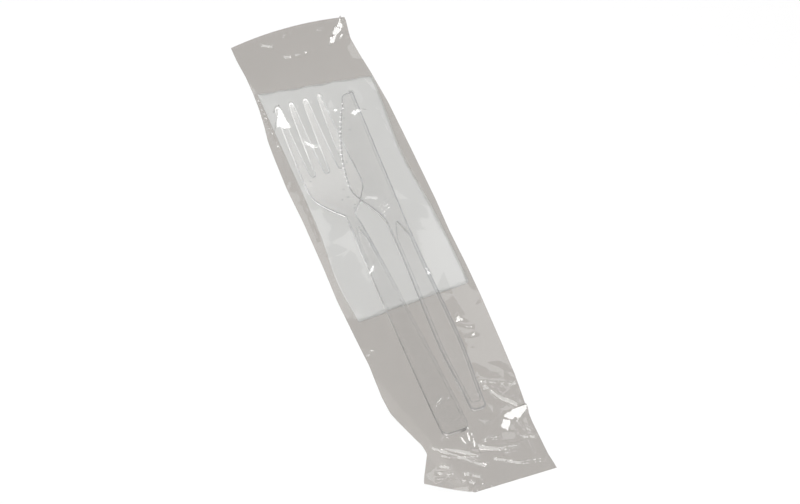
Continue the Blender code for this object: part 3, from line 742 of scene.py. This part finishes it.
def film_plan():
    """The film's grid seen from above, as X and Y of its rows and columns."""
    rows = round(2 * FILM_END / FILM_CELL[1]) + 1
    columns = round(FILM_WIDTH / FILM_CELL[0]) + 1
    y = np.linspace(-FILM_END, FILM_END, rows)[:, None]
    across = np.linspace(0.0, 1.0, columns)[None, :]
    left, right = side_line(FILM_LEFT, y), side_line(FILM_RIGHT, y)
    x = left + (right - left) * across
    y = y + 0 * x
    past = np.clip((CORNER_FOOT - x) / CORNER_WIDTH, 0.0, None)
    y = y + CORNER_RISE * past * ease((-FILM_END + CORNER_LENGTH - y) / CORNER_LENGTH)
    y = y + TOP_BOW * (1 - (x / FILM_HALF) ** 2) * ease((y - FLAP_START) / (FILM_END - FLAP_START))
    return x, y


def film_lift(x, y):
    """How far the film's back stands up from the table: the arched flap and the curled corner."""
    arch = TOP_ARCH * (1 - (x / FILM_HALF) ** 2) * ease((y - FLAP_START) / (FILM_END - FLAP_START))
    crease = Vector(CORNER_CREASE_TOP) - Vector((CORNER_FOOT, -FILM_END))
    away = (x - CORNER_FOOT) * crease.y - (y + FILM_END) * crease.x
    past = np.clip(-away / crease.length, 0.0, None) / CORNER_WIDTH
    curl = CORNER_CURL * past**CORNER_CURL_POWER
    return FILM_BASE + np.clip(arch, 0.0, None) + curl


def search_tree(meshes):
    points, faces = [], []
    for mesh in meshes:
        first = len(points)
        points += [v.co for v in mesh.vertices]
        faces += [[first + i for i in p.vertices] for p in mesh.polygons]
    return BVHTree.FromPolygons(points, faces)


def heights(tree, x, y):
    """The first surface met from above at each grid point, or 0."""
    found = np.zeros(x.shape)
    for at in np.ndindex(x.shape):
        hit = tree.ray_cast(Vector((x[at], y[at], 1.0)), Vector((0, 0, -1)))[0]
        found[at] = hit.z if hit else 0.0
    return found


def resized(sheet, shape):
    """The sheet with another number of rows and columns."""
    down, across = (np.linspace(0, a - 1, b) for a, b in zip(sheet.shape, shape))
    tall = np.stack([np.interp(down, np.arange(len(line)), line) for line in sheet.T], 1)
    return np.stack([np.interp(across, np.arange(len(line)), line) for line in tall])


def drawn_skin(least, fixed):
    """A taut skin that rests on what is under it and is held where it is fixed, from coarse to fine."""
    skin = None
    for step, passes in SKIN_LEVELS:
        picked = [np.linspace(0, n - 1, (n - 1) // step + 1) for n in least.shape]
        rows, columns = (line.round().astype(int) for line in picked)
        floor, held = least[np.ix_(rows, columns)], fixed[np.ix_(rows, columns)]
        skin = floor if skin is None else np.maximum(resized(skin, floor.shape), floor)
        skin = np.where(held, floor, skin)
        for _ in range(passes):
            near = np.pad(skin, 1, mode="edge")
            along = near[:-2, 1:-1] + near[2:, 1:-1]
            across = near[1:-1, :-2] + near[1:-1, 2:]
            drawn = np.maximum(along * SKIN_ALONG + across * SKIN_ACROSS, floor)
            skin = np.where(held, floor, drawn)
    return skin


def creases(x, y):
    """Random flat facets that meet at sharp creases, smaller and taller ones at the gathers."""
    random = np.random.default_rng(12)
    wide, long = CREASE_FIELD
    seeds = []
    for _ in range(CREASE_TRIES):
        point = (random.uniform(-wide, wide), random.uniform(-long, long))
        gathered = GATHER_FROM < point[1] < GATHER_TO and point[0] > -GATHER_SIDE
        space = CREASE_SPACING * (GATHER_SPACE if gathered else 1.0)
        if all((point[0] - a) ** 2 + (point[1] - b) ** 2 > space**2 for a, b in seeds):
            seeds.append(point)
    points, _, faces, *_ = delaunay_2d_cdt([Vector(p) for p in seeds], [], [], 0, 1e-6)
    tops = []
    for p in points:
        gather = math.sin(math.pi * np.clip((p.y - GATHER_FROM) / (GATHER_TO - GATHER_FROM), 0, 1))
        gather *= ease(p.x / GATHER_SIDE)
        tall = CREASE_HEIGHT + (GATHER_HEIGHT - CREASE_HEIGHT) * gather
        tops.append(Vector((p.x, p.y, CREASE_BASE + tall * random.uniform(-1, 1))))
    tree = BVHTree.FromPolygons(tops, faces)
    return heights(tree, x, y) - CREASE_BASE


def outside(polygon, x, y):
    """How far each grid point lies outside a convex polygon, and 0 or less inside it."""
    middle = np.mean(polygon, axis=0)
    far = np.full(x.shape, -1.0)
    for a, b in zip(polygon, np.roll(polygon, -1, axis=0)):
        along = b - a
        normal = np.array((along[1], -along[0])) / np.linalg.norm(along)
        if normal @ (middle - a) > 0:
            normal = -normal
        far = np.maximum(far, (x - a[0]) * normal[0] + (y - a[1]) * normal[1])
    return far


def seam_dots():
    """Small facets at even steps along the welded seam."""
    wide, tall = SEAM_DOT
    dots = []
    for t in np.linspace(0.0, 1.0, SEAM_DOTS):
        u = SEAM_FROM[0] + (SEAM_TO[0] - SEAM_FROM[0]) * t
        v = SEAM_FROM[1] + (SEAM_TO[1] - SEAM_FROM[1]) * t
        dots.append(((u - wide, v), (u, v - tall), (u + wide, v), (u, v + tall)))
    return dots


def ridge_sides():
    """The lit sides of the ridges that run across the view, as thin facets."""
    sides = []
    for line in RIDGES:
        for a, b in zip(line, line[1:]):
            if abs(b[1] - a[1]) > min(RIDGE_LEVEL, RIDGE_STEEPEST * abs(b[0] - a[0])):
                continue
            steps = np.linspace(a, b, math.ceil(math.dist(a, b) / RIDGE_PIECE) + 1)
            for (u, v), (next_u, next_v) in zip(steps, steps[1:]):
                low = ((next_u, next_v + RIDGE_PIXELS), (u, v + RIDGE_PIXELS))
                sides.append(((u, v), (next_u, next_v), *low))
    return sides


def lit_slope(place):
    """The slope along X and Y of a facet that shows the camera the key lamp."""
    to_lamp = (KEY_WAY * LAMP_DISTANCE - place).normalized()
    to_eye = (camera_place() - place).normalized()
    normal = to_lamp + to_eye
    return -normal.x / normal.z, -normal.y / normal.z


def add_glints(x, y, skin, least):
    """Turns a small facet of the film towards the lamp wherever the photograph shows a glint."""
    tree = search_tree([grid_mesh("skin", x, y, skin)])
    eye = camera_place()
    facets = [(glint, SOFT_LEAN) for glint in SOFT_GLINTS]
    facets += [(glint, 1.0) for glint in [*GLINTS, *seam_dots(), *ridge_sides()]]
    for glint, lean in facets:
        hits = [tree.ray_cast(eye, sight_line(pixel))[0] for pixel in glint]
        hits = [hit for hit in hits if hit]
        if len(hits) < 3:
            continue
        polygon = np.array([hit.xy for hit in hits])
        slope = lit_slope(sum(hits, Vector()) / len(hits))
        far = outside(polygon, x, y)
        share = np.clip(1 - far / GLINT_BAND, 0.0, 1.0)
        tilt = (x * slope[0] + y * slope[1]) * lean
        inside = far <= GLINT_REST
        if not inside.any():
            continue
        rise = max((skin - tilt)[inside].mean(), (least - tilt)[inside].max())
        skin = skin + (tilt + rise - skin) * share
    return np.maximum(skin, least)


def add_ridges(x, y, skin):
    """Raises fine ridges along the lines where the photograph shows creases."""
    tree = search_tree([grid_mesh("skin", x, y, skin)])
    eye = camera_place()
    raised = np.zeros(x.shape)
    for line in RIDGES:
        hits = [tree.ray_cast(eye, sight_line(pixel))[0] for pixel in line]
        points = [np.array(hit.xy) for hit in hits if hit]
        for a, b in zip(points, points[1:]):
            length = np.linalg.norm(b - a)
            way = (b - a) / length
            run = (x - a[0]) * way[0] + (y - a[1]) * way[1]
            side = (x - a[0]) * way[1] - (y - a[1]) * way[0]
            profile = np.clip(1 - (side / RIDGE_WIDTH) ** 2, 0.0, 1.0) ** 2
            ends = ease((run + RIDGE_TAPER) / RIDGE_TAPER)
            ends = ends * ease((length + RIDGE_TAPER - run) / RIDGE_TAPER)
            raised = np.maximum(raised, RIDGE_HEIGHT * profile * ends)
    return skin + raised


def grid_mesh(name, x, y, z):
    rows, columns = x.shape
    index = np.arange(rows * columns).reshape(rows, columns)
    faces = np.stack([index[:-1, :-1], index[:-1, 1:], index[1:, 1:], index[1:, :-1]], -1)
    mesh = bpy.data.meshes.new(name)
    mesh.from_pydata(np.stack([x, y, z], -1).reshape(-1, 3).tolist(), [], faces.reshape(-1, 4).tolist())
    return mesh


def rim(grid):
    """A grid's outer points in order, once round."""
    return np.concatenate([grid[0], grid[1:, -1], grid[-1, -2::-1], grid[-2:0:-1, 0]])


def make_film(contents, material):
    """The sachet, drawn over what it holds, creased, and turned to the lamp where it glints."""
    x, y = film_plan()
    back = film_lift(x, y)
    fixed = np.abs(y) > FILM_END - FILM_SEAL
    fixed[:, 0] = fixed[:, -1] = True
    over = heights(search_tree(contents), x, y)
    from_sides = np.minimum(x - x[:, :1], x[:, -1:] - x)
    inward = np.minimum(FILM_END - FILM_SEAL - np.abs(y), from_sides)
    least = back + SEAL_THICKNESS + (FILM_THICKNESS - SEAL_THICKNESS) * ease(inward / SEAL_FADE)
    least = np.maximum(least, np.where(over > 0, over + FILM_CLEARANCE, 0.0))
    skin = drawn_skin(least, fixed)
    free = np.clip(from_sides / CREASE_FADE, 0.0, 1.0)
    skin = np.maximum(skin + creases(x, y) * free, least)
    skin = add_glints(x, y, skin, least)
    skin = add_ridges(x, y, skin)
    mesh = grid_mesh("film_sachet", x, y, skin)
    close_back(mesh, x, y, skin)
    mesh.materials.append(material)
    film = add_object("film_sachet", mesh)
    mesh.shade_smooth()
    mesh.set_sharp_from_angle(angle=FILM_SHARP)
    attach(film, "root")
    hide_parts("film_sleeve")


def close_back(mesh, x, y, skin):
    """Adds the film's back, which meets the front all round its outline."""
    grid = np.arange(x.size).reshape(x.shape)
    order = rim(grid)
    loop = [Vector((rim(x)[i], rim(y)[i])) for i in range(len(order))]
    step = round(FILM_BACK_CELL / FILM_CELL[0])
    inner = [Vector((x[i, j], y[i, j])) for i in range(step, x.shape[0] - 2, step)
             for j in range(step, x.shape[1] - 2, step)]
    ring = [(i, (i + 1) % len(loop)) for i in range(len(loop))]
    flat, _, faces, sources, *_ = delaunay_2d_cdt(loop + inner, ring, [], 1, 1e-9)
    bm = bmesh.new()
    bm.from_mesh(mesh)
    bm.verts.ensure_lookup_table()
    random = np.random.default_rng(5)
    made = []
    for point, source in zip(flat, sources):
        if source and source[0] < len(order):
            made.append(bm.verts[int(order[source[0]])])
        else:
            lift = float(film_lift(np.array(point.x), np.array(point.y)))
            made.append(bm.verts.new((point.x, point.y, lift + random.uniform(0.0, FILM_BACK_WAVE))))
    for face in faces:
        bm.faces.new([made[i] for i in reversed(face)])
    bm.to_mesh(mesh)
    bm.free()


def main():
    add_camera()
    add_world()
    add_floor()
    add_lamp("key_softbox", KEY_WAY, KEY_SIZE, KEY_WATTS)
    add_lamp("fill_softbox", KEY_WAY * FILL_BEHIND, FILL_SIZE, FILL_WATTS)
    add_lamp("main_softbox", direction(MAIN_TURN, MAIN_ELEVATION), MAIN_SIZE, MAIN_WATTS)
    add_lamp("left_strip", direction(LEFT_TURN, LEFT_ELEVATION), LEFT_SIZE, LEFT_WATTS)
    add_lamp("right_strip", direction(RIGHT_TURN, RIGHT_ELEVATION), RIGHT_SIZE, RIGHT_WATTS)
    bpy.context.scene.view_settings.view_transform = "Standard"
    for node in ("fork", "knife"):
        moulded(node)
    contents = [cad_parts[node].data for node in ("fork", "knife")]
    contents.append(make_napkin(paper_material()))
    make_film(contents, film_material())


main()
